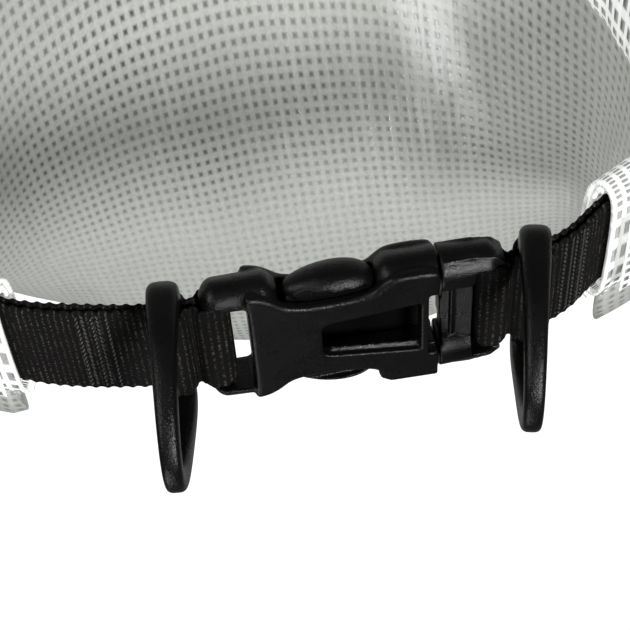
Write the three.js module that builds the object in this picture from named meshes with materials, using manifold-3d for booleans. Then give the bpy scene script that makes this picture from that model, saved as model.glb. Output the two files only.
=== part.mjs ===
// Roll-top dry bag, standing on its base. Millimetres, +Z up, origin at the centre of the base.
// The front of the bag faces -Y. The rolled mouth is bent into a ring and clipped at its top.
import * as THREE from 'three';
import { LoftGeometry } from 'three/addons/geometries/LoftGeometry.js';
import { mergeVertices } from 'three/addons/utils/BufferGeometryUtils.js';
import Module from 'manifold-3d';

const wasm = await Module();
wasm.setup();

// Bag
const BAG_DIAMETER = 244;
const SHOULDER_HEIGHT = 330;
const SHOULDER_SLOPE = 28;
const BASE_ROUND = 9;
const FABRIC = 1.0;
const SEAM_WIDTH = 24;
const BASE_BAND_HEIGHT = 24;

// Closure ring, placed by the middle of its buckle
const BUCKLE_HEIGHT = 540;
const BUCKLE_FORWARD = 30;
const RING_LEAN = 10;
const RING_TURN = 5.5;
const ROLL_SAG = 0.0032;
const ROLL_TURNS = 1.5;
const ROLL_LAYER = 1.5;
const ROLL_AIR = 0.35;

// Webbing and hardware
const WEBBING_WIDTH = 25;
const WEBBING_THICKNESS = 1.6;
const BUCKLE_LENGTH = 63;
const BUCKLE_WIDTH = 33;
const BUCKLE_THICKNESS = 10.4;
const MALE_BASE_LENGTH = 14;
const PRONG_REACH = 31;
const D_RING_DEPTH = 32;
const D_RING_WIDTH = 33;
const D_RING_BAR = 5.8;
const D_RING_OFFSET = 6;
const FEMALE_D_LEAN = 5;
const MALE_D_LEAN = 13;

const GAP = 0.3;
const AROUND = 64;

const PLASTIC = { color: 0x101011, roughness: 0.42, metalness: 0 };
const WEBBING = { color: 0x17161a, roughness: 0.85, metalness: 0 };
const THREAD = { color: 0x0c0c0d, roughness: 0.7, metalness: 0 };
const SCRIM = { color: 0xc9ccc6, roughness: 0.3, metalness: 0 };
const WELD = { color: 0xdcded9, roughness: 0.35, metalness: 0 };
const STIFFENER = { color: 0x26272a, roughness: 0.6, metalness: 0 };

function toSolid(geometry) {
  const bare = new THREE.BufferGeometry().copy(geometry);
  bare.deleteAttribute('normal');
  bare.deleteAttribute('uv');
  const merged = mergeVertices(bare, 1e-4);
  return new wasm.Manifold(new wasm.Mesh({
    numProp: 3,
    vertProperties: new Float32Array(merged.attributes.position.array),
    triVerts: new Uint32Array(merged.index.array),
  }));
}

function fromSolid(solid) {
  const mesh = solid.getMesh();
  const geometry = new THREE.BufferGeometry();
  geometry.setAttribute('position', new THREE.BufferAttribute(mesh.vertProperties, 3));
  geometry.setIndex(new THREE.BufferAttribute(mesh.triVerts, 1));
  geometry.computeVertexNormals();
  return geometry;
}

function named(name, geometry, look) {
  const mesh = new THREE.Mesh(geometry, new THREE.MeshStandardMaterial(look));
  mesh.name = name;
  return mesh;
}

function box(x0, x1, y0, y1, z0, z1) {
  const geometry = new THREE.BoxGeometry(x1 - x0, y1 - y0, z1 - z0);
  geometry.translate((x0 + x1) / 2, (y0 + y1) / 2, (z0 + z1) / 2);
  return toSolid(geometry);
}

// Lofts closed sections. They are turned to run anticlockwise, seen from the loft's far end.
function loft(sections, capped) {
  const travel = middle(sections[1]).sub(middle(sections[0]));
  const backwards = areaVector(sections[0]).dot(travel) < 0;
  const ordered = backwards ? sections.map((points) => [...points].reverse()) : sections;
  return new LoftGeometry(ordered, { capStart: capped, capEnd: capped });
}

function middle(points) {
  const sum = new THREE.Vector3();
  points.forEach((point) => sum.add(point));
  return sum.divideScalar(points.length);
}

function areaVector(points) {
  const total = new THREE.Vector3();
  points.forEach((point, i) => {
    total.add(point.clone().cross(points[(i + 1) % points.length]));
  });
  return total;
}

// A flat outline in the X-Z plane, given as [x, z], with its thickness along Y.
function slabAcrossY(points, halfThickness) {
  const shape = new THREE.Shape(points.map(([x, z]) => new THREE.Vector2(x, -z)));
  const geometry = new THREE.ExtrudeGeometry(shape, { depth: 2 * halfThickness, bevelEnabled: false });
  geometry.translate(0, 0, -halfThickness);
  geometry.rotateX(-Math.PI / 2);
  return toSolid(geometry);
}

// A flat outline in the X-Y plane, with its thickness along Z.
function slabAcrossZ(points, halfThickness) {
  const shape = new THREE.Shape(points.map(([x, y]) => new THREE.Vector2(x, y)));
  const geometry = new THREE.ExtrudeGeometry(shape, { depth: 2 * halfThickness, bevelEnabled: false });
  geometry.translate(0, 0, -halfThickness);
  return toSolid(geometry);
}

function smooth(x) {
  const clamped = Math.min(Math.max(x, 0), 1);
  return clamped * clamped * (3 - 2 * clamped);
}

// The closure ring's own plane: X along the buckle, Y out of its upper face, Z towards the front.
const closure = new THREE.Group();
{
  const lean = THREE.MathUtils.degToRad(RING_LEAN);
  const turn = THREE.MathUtils.degToRad(RING_TURN);
  const across = new THREE.Vector3(1, 0, 0);
  const up = new THREE.Vector3(0, Math.sin(lean), Math.cos(lean));
  const front = new THREE.Vector3(0, -Math.cos(lean), Math.sin(lean));
  const along = across.clone().multiplyScalar(Math.cos(turn)).addScaledVector(up, Math.sin(turn));
  const out = up.clone().multiplyScalar(Math.cos(turn)).addScaledVector(across, -Math.sin(turn));
  closure.quaternion.setFromRotationMatrix(new THREE.Matrix4().makeBasis(along, out, front));
  closure.position.set(-7, -BUCKLE_FORWARD, BUCKLE_HEIGHT);
  closure.updateMatrixWorld(true);
}

const HALF_BUCKLE = BUCKLE_LENGTH / 2;
const MOUTH_WIDTH = (Math.PI * BAG_DIAMETER) / 2;

// Half of the rolled mouth's centre line, from the strap end down to the middle of the mouth.
const HALF_ROLL = [[63, 0], [84, -12], [95, -38], [90, -70], [66, -100], [34, -117], [0, -122]];

function rollOutline(scale) {
  const tilt = 0.0225;
  const right = HALF_ROLL.map(([x, y]) => [x, y]);
  const left = HALF_ROLL.slice(0, -1).reverse().map(([x, y]) => [-x, y]);
  return [...right, ...left].map(([x, y]) => new THREE.Vector3(
    7.7 + scale * (x * Math.cos(tilt) - y * Math.sin(tilt)),
    -8.9 + scale * (x * Math.sin(tilt) + y * Math.cos(tilt)),
    0,
  ));
}

function ringCurve() {
  const unit = new THREE.CatmullRomCurve3(rollOutline(1), false, 'centripetal').getLength();
  const roll = rollOutline(MOUTH_WIDTH / unit);
  const strap = (end, share) => {
    const start = Math.sign(end.x) * HALF_BUCKLE;
    return new THREE.Vector3(start + (end.x - start) * share, end.y * share ** 2, 0);
  };
  const [female, male] = [roll[0], roll[roll.length - 1]];
  const straight = [-27, -14, 0, 14, 27].map((x) => new THREE.Vector3(x, 0, 0));
  const points = [
    ...straight.slice(2),
    strap(female, 0), strap(female, 0.34), strap(female, 0.67),
    ...roll,
    strap(male, 0.67), strap(male, 0.34), strap(male, 0),
    ...straight.slice(0, 2),
  ];
  const curve = new THREE.CatmullRomCurve3(points, true, 'centripetal');
  curve.arcLengthDivisions = 3000;
  return { curve, female, male };
}

const ring = ringCurve();
const RING_LENGTH = ring.curve.getLength();

// How far round the ring a point is from the middle of the buckle, positive on the female side.
function distanceTo(target) {
  let best = 0;
  let least = Infinity;
  for (let i = 0; i < 2000; i += 1) {
    const gap = ring.curve.getPointAt(i / 2000).distanceTo(target);
    if (gap < least) {
      least = gap;
      best = i / 2000;
    }
  }
  return best * RING_LENGTH;
}

const ROLL_START = distanceTo(ring.female);
const ROLL_END = distanceTo(ring.male);

// A point beside the ring's centre line: how far round, how far out, how far to the front.
// The roll hangs forwards of the buckle's plane, the more the lower it hangs.
function onRing(distance, out, front) {
  const share = (((distance / RING_LENGTH) % 1) + 1) % 1;
  const point = ring.curve.getPointAt(share);
  const tangent = ring.curve.getTangentAt(share);
  const low = Math.min(point.y + tangent.x * out, 0);
  return new THREE.Vector3(
    point.x - tangent.y * out,
    point.y + tangent.x * out,
    front + ROLL_SAG * low * low,
  );
}

// Bag wall

const RADIUS = BAG_DIAMETER / 2;
const LAYER_PITCH = ROLL_LAYER + ROLL_AIR;
const ROLL_HALF_WIDTH = WEBBING_WIDTH / 2 + 5 * GAP + ROLL_LAYER + LAYER_PITCH * ROLL_TURNS;
const ROLL_HALF_THICKNESS = 1.2 * WEBBING_THICKNESS + 2 * GAP + ROLL_LAYER + LAYER_PITCH * ROLL_TURNS;
const NECK_LAYER = 1.9;

// The two flat layers that run into the roll's back edge. Angle 0 is the female end.
function neckTop(angle) {
  const share = angle <= Math.PI ? angle / Math.PI : 2 - angle / Math.PI;
  const out = NECK_LAYER * Math.min(Math.max(Math.sin(angle) / 0.16, -1), 1);
  const distance = ROLL_START + 3 + (ROLL_END - ROLL_START - 6) * share;
  const point = onRing(distance, out, -ROLL_HALF_WIDTH - 1);
  return point.applyMatrix4(closure.matrixWorld);
}

function shoulder(angle) {
  return new THREE.Vector3(
    RADIUS * Math.cos(angle),
    -RADIUS * Math.sin(angle),
    SHOULDER_HEIGHT - SHOULDER_SLOPE * Math.sin(angle),
  );
}

// The wall's outer face: rise 0 is the base, 1 the shoulder and 2 the roll.
function wallPoint(angle, rise) {
  if (rise <= 1) {
    const point = shoulder(angle);
    const height = point.z * rise;
    const round = Math.max(0, 1 - height / BASE_ROUND);
    const radius = RADIUS - BASE_ROUND * (1 - Math.sqrt(1 - 0.85 * round * round));
    return point.set(radius * Math.cos(angle), -radius * Math.sin(angle), height);
  }
  const t = rise - 1;
  const from = shoulder(angle);
  const to = neckTop(angle);
  const back = 0.5 - 0.5 * Math.sin(angle);
  const leaving = new THREE.Vector3(0, 0, 120 + 70 * back);
  const arriving = new THREE.Vector3(0, 0, 1).transformDirection(closure.matrixWorld);
  arriving.multiplyScalar(95 + 90 * back);
  return new THREE.Vector3()
    .addScaledVector(from, 2 * t ** 3 - 3 * t ** 2 + 1)
    .addScaledVector(leaving, t ** 3 - 2 * t ** 2 + t)
    .addScaledVector(to, -2 * t ** 3 + 3 * t ** 2)
    .addScaledVector(arriving, t ** 3 - t ** 2);
}

// The wall's face moved outwards by a distance.
function wallOffset(angle, rise, out) {
  const step = 1e-3;
  const low = Math.max(rise - step, 0);
  const high = Math.min(rise + step, 2);
  const upward = wallPoint(angle, high).sub(wallPoint(angle, low));
  const sideways = wallPoint(angle + step, rise).sub(wallPoint(angle - step, rise));
  const normal = upward.cross(sideways).normalize();
  return wallPoint(angle, rise).addScaledVector(normal, out);
}

function wallRises() {
  const low = [0, 0.006, 0.015, 0.028, 0.3, 0.62, 0.86];
  const neck = Array.from({ length: 13 }, (_, i) => 1 + i / 12);
  return [...low, ...neck];
}

function bagWall() {
  const rises = wallRises();
  const row = (rise, out) => Array.from(
    { length: AROUND },
    (_, i) => wallOffset((2 * Math.PI * (i + 0.5)) / AROUND, rise, out),
  );
  const outer = rises.map((rise) => row(rise, 0));
  const inner = rises.map((rise) => row(rise, -FABRIC)).reverse();
  return loft([...outer, ...inner, outer[0]], false);
}

function sideSeam() {
  const half = SEAM_WIDTH / 2 / RADIUS;
  const angles = [-1, -0.33, 0.33, 1].map((side) => 0.5 * Math.PI + side * half);
  const first = (BASE_BAND_HEIGHT + BASE_ROUND + 4) / (SHOULDER_HEIGHT - SHOULDER_SLOPE);
  const rises = [first, 0.3, 0.62, 0.86, ...Array.from({ length: 7 }, (_, i) => 1 + i / 12)];
  return loft(rises.map((rise) => [
    ...angles.map((angle) => wallOffset(angle, rise, 1.4)),
    ...[...angles].reverse().map((angle) => wallOffset(angle, rise, 0.6)),
  ]), true);
}

function latheUp(points, segments) {
  const geometry = new THREE.LatheGeometry(points.map(([r, z]) => new THREE.Vector2(r, z)), segments);
  geometry.rotateX(Math.PI / 2);
  return geometry;
}

function baseDisc() {
  const radius = RADIUS - BASE_ROUND * 0.62 - FABRIC - 1;
  return latheUp([[0, 0], [radius - 2, 0], [radius, 0.6], [radius, 1.8], [0, 1.8]], AROUND);
}

function baseBand() {
  const low = BASE_ROUND + 1;
  const high = low + BASE_BAND_HEIGHT;
  const inner = RADIUS + 0.4;
  return latheUp([
    [inner, low], [inner + 1, low], [inner + 1.2, low + 2],
    [inner + 1.2, high - 2], [inner + 1, high], [inner, high], [inner, low],
  ], AROUND);
}

// Rolled mouth

function spiralPoint(turn, depth) {
  const angle = Math.PI + 2 * Math.PI * turn;
  const width = ROLL_HALF_WIDTH - LAYER_PITCH * turn - depth;
  const thick = ROLL_HALF_THICKNESS - LAYER_PITCH * turn - depth;
  const flat = Math.tanh(2.6 * Math.cos(angle)) / Math.tanh(2.6);
  return [thick * Math.sin(angle), (width - thick) * flat + thick * Math.cos(angle)];
}

function rollSection() {
  const steps = Math.round(ROLL_TURNS * 12);
  const turns = Array.from({ length: steps + 1 }, (_, i) => (i * ROLL_TURNS) / steps);
  return [
    ...turns.map((turn) => spiralPoint(turn, 0)),
    ...turns.map((turn) => spiralPoint(turn, ROLL_LAYER)).reverse(),
  ];
}

function alongRoll(from, to, steps, section) {
  const stations = Array.from({ length: steps + 1 }, (_, i) => from + ((to - from) * i) / steps);
  return loft(stations.map((at) => section.map(([out, front]) => onRing(at, out, front))), true);
}

function rolledMouth() {
  return alongRoll(ROLL_START, ROLL_END, 40, rollSection());
}

function mouthStiffener() {
  const half = WEBBING_WIDTH / 2 - 2;
  const section = [[-0.7, -half], [0.7, -half], [0.7, half], [-0.7, half]];
  return alongRoll(ROLL_START + 20, ROLL_END - 20, 36, section);
}

// A patch over the outer face of the roll's end.
function endPatch(side) {
  const low = ROLL_HALF_THICKNESS + GAP + 0.2;
  const half = ROLL_HALF_WIDTH - ROLL_HALF_THICKNESS - 1;
  const section = [[low, -half], [low + 0.9, -half], [low + 0.9, half], [low, half]];
  const end = side > 0 ? ROLL_START : ROLL_END;
  return alongRoll(end + side * 1.5, end + side * 25, 8, section);
}

// Webbing

const WEB_BAR = { centre: HALF_BUCKLE - 2.8, half: 1.9, thick: 1.9 };
const D_BAR = HALF_BUCKLE + D_RING_OFFSET;

function roundBump(distance, height) {
  return distance < height ? Math.sqrt(height * height - distance * distance) : 0;
}

// Half the thickness of a strap loop: wide round the buckle's bar and the D-ring's bar.
function loopHalf(distance) {
  const nose = WEB_BAR.centre - WEB_BAR.half - GAP - WEBBING_THICKNESS;
  const bar = WEB_BAR.thick + GAP + WEBBING_THICKNESS;
  const barEnd = WEB_BAR.centre + WEB_BAR.half;
  const dBar = roundBump(Math.abs(distance - D_BAR), D_RING_BAR / 2 + 0.5 + WEBBING_THICKNESS);
  const atBar = bar * (1 - smooth((distance - barEnd) / 2.6));
  const rounding = Math.sqrt(Math.min(1, Math.max(distance - nose, 0) / 3));
  return Math.max(WEBBING_THICKNESS + 0.05, atBar, dBar) * Math.max(rounding, 0.35);
}

function strapLoop(side) {
  const nose = WEB_BAR.centre - WEB_BAR.half - GAP - WEBBING_THICKNESS;
  const rollAt = side > 0 ? ROLL_START : RING_LENGTH - ROLL_END;
  const end = rollAt + 11;
  const fine = Math.round((D_BAR + 8 - nose) / 0.9);
  const stations = [
    ...Array.from({ length: fine }, (_, i) => nose + ((D_BAR + 8 - nose) * i) / fine),
    ...Array.from({ length: 13 }, (_, i) => D_BAR + 8 + ((end - D_BAR - 8) * i) / 12),
  ];
  const flat = (distance, out) => {
    const point = onRing(side * distance, out, 0);
    return new THREE.Vector2(point.x, point.y);
  };
  const shape = new THREE.Shape([
    ...stations.map((at) => flat(at, loopHalf(at))),
    ...[...stations].reverse().map((at) => flat(at, -loopHalf(at))),
  ]);
  const pocket = (centre, alongHalf, outHalf, power) => new THREE.Path(
    Array.from({ length: 16 }, (_, i) => {
      const angle = (2 * Math.PI * i) / 16;
      const bent = (value) => Math.sign(value) * Math.abs(value) ** power;
      return flat(
        centre + alongHalf * bent(Math.cos(angle)),
        outHalf * bent(Math.sin(angle)),
      );
    }),
  );
  shape.holes.push(pocket(WEB_BAR.centre, WEB_BAR.half + GAP, WEB_BAR.thick + GAP, 0.25));
  shape.holes.push(pocket(D_BAR, D_RING_BAR / 2 + 0.5, D_RING_BAR / 2 + 0.5, 1));
  const geometry = new THREE.ExtrudeGeometry(shape, { depth: WEBBING_WIDTH, bevelEnabled: false });
  geometry.translate(0, 0, -WEBBING_WIDTH / 2);
  return geometry;
}

// A raised bar of stitches across the webbing's outer face.
function barTack(side, distance) {
  const low = WEBBING_THICKNESS + 0.05 + GAP;
  const section = [[low, -11], [low + 0.6, -11], [low + 0.6, 11], [low, 11]];
  return alongRoll(side * (distance - 1.4), side * (distance + 1.4), 2, section);
}

// Buckle

const HALF_THICK = BUCKLE_THICKNESS / 2;
const HALF_WIDE = BUCKLE_WIDTH / 2;
const MALE_EDGE = -HALF_BUCKLE + MALE_BASE_LENGTH;
const WINDOW = [MALE_EDGE + 12.4, MALE_EDGE + 33];

function buckleBlock(x0, x1) {
  const plan = [
    [x0, -HALF_WIDE + 2], [x0 + 1.2, -HALF_WIDE], [x1 - 1.2, -HALF_WIDE], [x1, -HALF_WIDE + 2],
    [x1, HALF_WIDE - 2], [x1 - 1.2, HALF_WIDE], [x0 + 1.2, HALF_WIDE], [x0, HALF_WIDE - 2],
  ];
  const profile = (round0, round1) => [
    [x0, -HALF_THICK + round0], [x0 + round0, -HALF_THICK],
    [x1 - round1, -HALF_THICK], [x1, -HALF_THICK + round1],
    [x1, HALF_THICK - round1], [x1 - round1, HALF_THICK],
    [x0 + round0, HALF_THICK], [x0, HALF_THICK - round0],
  ];
  const rounds = x0 < -HALF_BUCKLE + 1 ? [3, 0.8] : [0.8, 3];
  return slabAcrossY(plan, HALF_THICK).intersect(slabAcrossZ(profile(...rounds), HALF_WIDE));
}

// The slot that the strap goes through, and the room for it above and below the bar.
function webbingCut(side) {
  const half = WEBBING_WIDTH / 2 + 0.4;
  const slot = [HALF_BUCKLE - 11, WEB_BAR.centre - WEB_BAR.half];
  const outside = HALF_BUCKLE + 1;
  const span = (a, b) => (side > 0 ? [a, b] : [-b, -a]);
  const through = box(...span(...slot), -HALF_THICK - 1, HALF_THICK + 1, -half, half);
  const above = box(...span(slot[1] - 0.1, outside), WEB_BAR.thick, HALF_THICK + 1, -half, half);
  const below = box(...span(slot[1] - 0.1, outside), -HALF_THICK - 1, -WEB_BAR.thick, -half, half);
  const barEnd = WEB_BAR.centre + WEB_BAR.half;
  const behind = box(...span(barEnd, outside), -WEB_BAR.thick - 0.1, WEB_BAR.thick + 0.1, -half, half);
  return through.add(above).add(below).add(behind);
}

function buckleFemale() {
  const mouth = MALE_EDGE + GAP + 0.1;
  let body = buckleBlock(mouth, HALF_BUCKLE);
  body = body.subtract(box(mouth - 1, WINDOW[1] + 1.6, -3.1, 3.1, -13.3, 13.3));
  for (const side of [-1, 1]) {
    const [near, far] = side > 0 ? [9.3, HALF_WIDE + 1] : [-HALF_WIDE - 1, -9.3];
    body = body.subtract(box(...WINDOW, -HALF_THICK - 1, HALF_THICK + 1, near, far));
  }
  const face = [
    [MALE_EDGE + 5, -7.4], [MALE_EDGE + 24.8, -4.8], [MALE_EDGE + 24.8, 4.8], [MALE_EDGE + 5, 7.4],
  ];
  body = body.subtract(slabAcrossY(face, HALF_THICK + 1));
  return fromSolid(body.subtract(webbingCut(1)));
}

function buckleMale() {
  let frame = buckleBlock(-HALF_BUCKLE, MALE_EDGE);
  frame = frame.subtract(webbingCut(-1));
  return fromSolid(frame);
}

// One spring arm with its release button, on the front (side 1) or back (side -1) of the buckle.
function prong(side) {
  const root = MALE_EDGE + GAP;
  const tip = MALE_EDGE + PRONG_REACH;
  const [start, stop] = [WINDOW[0] + 0.4, WINDOW[1] - 1.4];
  const half = (stop - start) / 2;
  const arm = [
    [root, 8.8], [tip - 3, 8.8], [tip, 9.6], [tip, 12], [start, 12.4], [start, 11.4], [root, 11.4],
  ];
  const button = [];
  for (let i = 0; i <= 12; i += 1) {
    const share = -1 + i / 6;
    const x = start + half * (1 + share);
    button.push([x, 13.2 + 2.9 * Math.sqrt(Math.max(0, 1 - share ** 2)) + 0.1]);
  }
  for (let i = 12; i >= 0; i -= 1) {
    const share = -1 + i / 6;
    const x = start + half * (1 + share);
    button.push([x, 13.2 - 1.5 * Math.sqrt(Math.max(0, 1 - share ** 2)) - 0.1]);
  }
  const flip = (points) => points.map(([x, z]) => [x, side * z]);
  const solid = slabAcrossY(flip(arm), 2.7).add(slabAcrossY(flip(button), 4.6));
  return fromSolid(solid);
}

// D-ring: a straight bar and a tapering bow, standing along Y from the middle of its bar.
function dRing() {
  const half = D_RING_WIDTH / 2;
  const depth = D_RING_DEPTH;
  const bow = [
    [0, 0], [half * 0.45, 0], [half * 0.9, 0], [half, 0.035 * depth], [half * 1.0, 0.2 * depth],
    [half * 0.93, 0.42 * depth], [half * 0.79, 0.63 * depth], [half * 0.56, 0.83 * depth],
    [half * 0.29, 0.96 * depth], [0, depth],
  ];
  const points = [
    ...bow.map(([z, y]) => new THREE.Vector3(0, y, z)),
    ...bow.slice(1, -1).reverse().map(([z, y]) => new THREE.Vector3(0, y, -z)),
  ];
  const curve = new THREE.CatmullRomCurve3(points, true, 'centripetal');
  const steps = 56;
  const sections = [];
  for (let i = 0; i <= steps; i += 1) {
    const share = (i % steps) / steps;
    const point = curve.getPointAt(share);
    const tangent = curve.getTangentAt(share);
    const rise = smooth(point.y / depth);
    const thick = (D_RING_BAR / 2) * (1 - 0.2 * rise);
    const wide = (D_RING_BAR / 2) * (1 - 0.1 * rise);
    const inward = new THREE.Vector3(0, -tangent.z, tangent.y);
    const section = [];
    for (let k = 0; k < 8; k += 1) {
      const angle = (2 * Math.PI * (k + 0.5)) / 8;
      section.push(point.clone()
        .addScaledVector(inward, wide * Math.cos(angle))
        .add(new THREE.Vector3(thick * Math.sin(angle), 0, 0)));
    }
    sections.push(section);
  }
  return loft(sections, false);
}

function hungDRing(name, side, lean) {
  const mesh = named(name, dRing(), PLASTIC);
  mesh.position.copy(onRing(side * D_BAR, 0, 0));
  mesh.rotation.z = -THREE.MathUtils.degToRad(lean);
  return mesh;
}

closure.add(
  named('closure_roll', rolledMouth(), SCRIM),
  named('mouth_stiffener', mouthStiffener(), STIFFENER),
  named('end_patch_female', endPatch(1), SCRIM),
  named('end_patch_male', endPatch(-1), SCRIM),
  named('webbing_female', strapLoop(1), WEBBING),
  named('webbing_male', strapLoop(-1), WEBBING),
  named('bar_tack_female', barTack(1, D_BAR + 15), THREAD),
  named('bar_tack_male', barTack(-1, D_BAR + 10), THREAD),
  named('buckle_female', buckleFemale(), PLASTIC),
  named('buckle_male', buckleMale(), PLASTIC),
  named('prong_front', prong(1), PLASTIC),
  named('prong_back', prong(-1), PLASTIC),
  hungDRing('d_ring_female', 1, FEMALE_D_LEAN),
  hungDRing('d_ring_male', -1, MALE_D_LEAN),
);

const bag = new THREE.Group();
bag.add(
  named('bag_wall', bagWall(), SCRIM),
  named('side_seam', sideSeam(), WELD),
  named('base_disc', baseDisc(), SCRIM),
  named('base_band', baseBand(), WELD),
  closure,
);

export default bag;
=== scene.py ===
"""Roll-top dry bag, standing on its base, with its rolled mouth clipped into a ring."""

import math

import bmesh
import bpy
import numpy as np
from bpy.props import FloatProperty, FloatVectorProperty, IntProperty, PointerProperty
from mathutils import Matrix, Vector


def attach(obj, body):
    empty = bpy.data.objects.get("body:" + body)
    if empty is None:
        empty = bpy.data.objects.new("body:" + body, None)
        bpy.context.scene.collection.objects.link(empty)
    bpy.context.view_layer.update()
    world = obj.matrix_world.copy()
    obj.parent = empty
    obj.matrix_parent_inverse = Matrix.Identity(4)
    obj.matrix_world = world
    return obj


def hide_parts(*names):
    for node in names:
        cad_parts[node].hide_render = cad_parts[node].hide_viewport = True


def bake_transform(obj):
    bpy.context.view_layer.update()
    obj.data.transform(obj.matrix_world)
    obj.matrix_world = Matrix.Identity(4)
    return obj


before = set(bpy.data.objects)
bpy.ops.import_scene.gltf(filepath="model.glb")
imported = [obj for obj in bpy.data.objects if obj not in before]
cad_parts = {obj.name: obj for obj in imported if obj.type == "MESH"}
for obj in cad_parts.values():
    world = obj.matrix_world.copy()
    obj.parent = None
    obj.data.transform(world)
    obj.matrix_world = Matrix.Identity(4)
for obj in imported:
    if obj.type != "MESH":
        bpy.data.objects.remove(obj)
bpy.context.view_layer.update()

bl_info = {
    "name": "Roll-top dry bag",
    "version": (1, 0, 0),
    "blender": (4, 5, 0),
    "location": "3D View > Sidebar > Dry bag",
    "description": "Builds a roll-top dry bag with its buckle, D-rings and webbing",
    "category": "Object",
}

MM = 0.001


# ---------------------------------------------------------------- sizes


class BagSizes(bpy.types.PropertyGroup):
    radius: FloatProperty(
        name="Radius", description="Radius of the stuffed bag", default=0.122, unit="LENGTH"
    )
    shoulder: FloatProperty(
        name="Shoulder", description="Height of the wall at the sides", default=0.330, unit="LENGTH"
    )
    shoulder_slope: FloatProperty(
        name="Shoulder slope",
        description="How much lower the front shoulder is, and how much higher the back one",
        default=0.028,
        unit="LENGTH",
    )
    base_round: FloatProperty(
        name="Base rounding", description="Radius of the bottom edge", default=0.009, unit="LENGTH"
    )
    thread_pitch: FloatProperty(
        name="Thread pitch", description="Distance between scrim threads", default=0.0029, unit="LENGTH"
    )
    fold_depth: FloatProperty(
        name="Fold depth", description="Depth of the soft folds in the neck", default=0.0021, unit="LENGTH"
    )
    film: FloatVectorProperty(
        name="Thread colour", description="Colour of the scrim threads", subtype="COLOR",
        default=(0.31, 0.32, 0.30),
    )


class StrapSizes(bpy.types.PropertyGroup):
    width: FloatProperty(name="Width", description="Width of the webbing", default=0.025, unit="LENGTH")
    thickness: FloatProperty(
        name="Thickness", description="Thickness of one layer", default=0.0015, unit="LENGTH"
    )
    rib_pitch: FloatProperty(
        name="Rib pitch", description="Distance between the webbing's ribs", default=0.0013, unit="LENGTH"
    )
    # Painted highlight colour: the colour given to the lit yarns on the rib tops.
    yarn_glint: FloatVectorProperty(
        name="Fleck colour", description="Colour of the lit yarns", subtype="COLOR",
        default=(0.115, 0.105, 0.088),
    )


class BuckleSizes(bpy.types.PropertyGroup):
    voxel: FloatProperty(
        name="Voxel", description="Size of the mesh that rounds the moulded edges", default=0.00029,
        unit="LENGTH",
    )
    rounding: IntProperty(name="Rounding", description="Smoothing passes over the edges", default=4)
    plastic: FloatVectorProperty(
        name="Plastic colour", description="Colour of the moulded parts", subtype="COLOR",
        default=(0.0025, 0.0023, 0.0022),
    )


class StageSizes(bpy.types.PropertyGroup):
    distance: FloatProperty(
        name="Camera distance", description="From the camera to the buckle", default=0.300, unit="LENGTH"
    )
    elevation: FloatProperty(
        name="Camera height", description="Angle above the horizon", default=math.radians(50), subtype="ANGLE"
    )
    roll: FloatProperty(
        name="Camera roll", description="Turn about the line of sight", default=math.radians(184.3),
        subtype="ANGLE",
    )
    lens: FloatProperty(name="Lens", description="Focal length in millimetres", default=83.0)


def sizes(group):
    return getattr(bpy.context.scene, "dry_bag_" + group)


# ---------------------------------------------------------------- the ring's own plane

LEAN = math.radians(10)
TURN = math.radians(5.5)
UP = Vector((0, math.sin(LEAN), math.cos(LEAN)))
FRONT = Vector((0, -math.cos(LEAN), math.sin(LEAN)))
ALONG = Vector((1, 0, 0)) * math.cos(TURN) + UP * math.sin(TURN)
OUT = UP * math.cos(TURN) - Vector((1, 0, 0)) * math.sin(TURN)
BUCKLE = Vector((-0.007, -0.030, 0.540))
RING = Matrix((ALONG, OUT, FRONT)).transposed().to_4x4()
RING.translation = BUCKLE
RING_ARRAY = np.array(RING)

HALF_BUCKLE = 31.5
D_BAR = 37.5
WEB_BAR = 28.7
ROLL_SCALE = 0.9808
ROLL_HALF_WIDTH = 18.275
ROLL_HALF_THICK = 6.795
ROLL_SAG = 0.0032
ROLL_PITCH = 1.85


def to_world(points):
    """Points in millimetres in the ring's plane, as points in metres in the row frame."""
    points = np.asarray(points, float)
    return points @ (RING_ARRAY[:3, :3].T * MM) + RING_ARRAY[:3, 3]


def ring_corners():
    half = [(63, 0), (84, -12), (95, -38), (90, -70), (66, -100), (34, -117), (0, -122)]
    around = half + [(-x, y) for x, y in half[-2::-1]]
    tilt = 0.0225
    roll = [
        (
            7.7 + ROLL_SCALE * (x * math.cos(tilt) - y * math.sin(tilt)),
            -8.9 + ROLL_SCALE * (x * math.sin(tilt) + y * math.cos(tilt)),
        )
        for x, y in around
    ]

    def strap(end, share):
        start = math.copysign(HALF_BUCKLE, end[0])
        return (start + (end[0] - start) * share, end[1] * share**2)

    first, last = roll[0], roll[-1]
    return (
        [(0, 0), (14, 0), (27, 0), strap(first, 0), strap(first, 0.34), strap(first, 0.67)]
        + roll
        + [strap(last, 0.67), strap(last, 0.34), strap(last, 0), (-27, 0), (-14, 0)]
    )


def smooth_loop(corners, steps):
    """A centripetal Catmull-Rom loop through the corners, with its running length."""
    p = np.array(corners, float)
    n = len(p)
    t = np.linspace(0, 1, steps, endpoint=False)[:, None]
    found = []
    for i in range(n):
        p0, p1, p2, p3 = p[i - 1], p[i], p[(i + 1) % n], p[(i + 2) % n]
        a, b, c = (np.linalg.norm(q - r) ** 0.5 for q, r in ((p1, p0), (p2, p1), (p3, p2)))
        m1 = ((p1 - p0) / a - (p2 - p0) / (a + b) + (p2 - p1) / b) * b
        m2 = ((p2 - p1) / b - (p3 - p1) / (b + c) + (p3 - p2) / c) * b
        found.append(
            p1 + m1 * t + (-3 * p1 + 3 * p2 - 2 * m1 - m2) * t**2 + (2 * p1 - 2 * p2 + m1 + m2) * t**3
        )
    line = np.vstack(found + [p[:1]])
    length = np.concatenate([[0], np.cumsum(np.linalg.norm(np.diff(line, axis=0), axis=1))])
    return line, length


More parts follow.
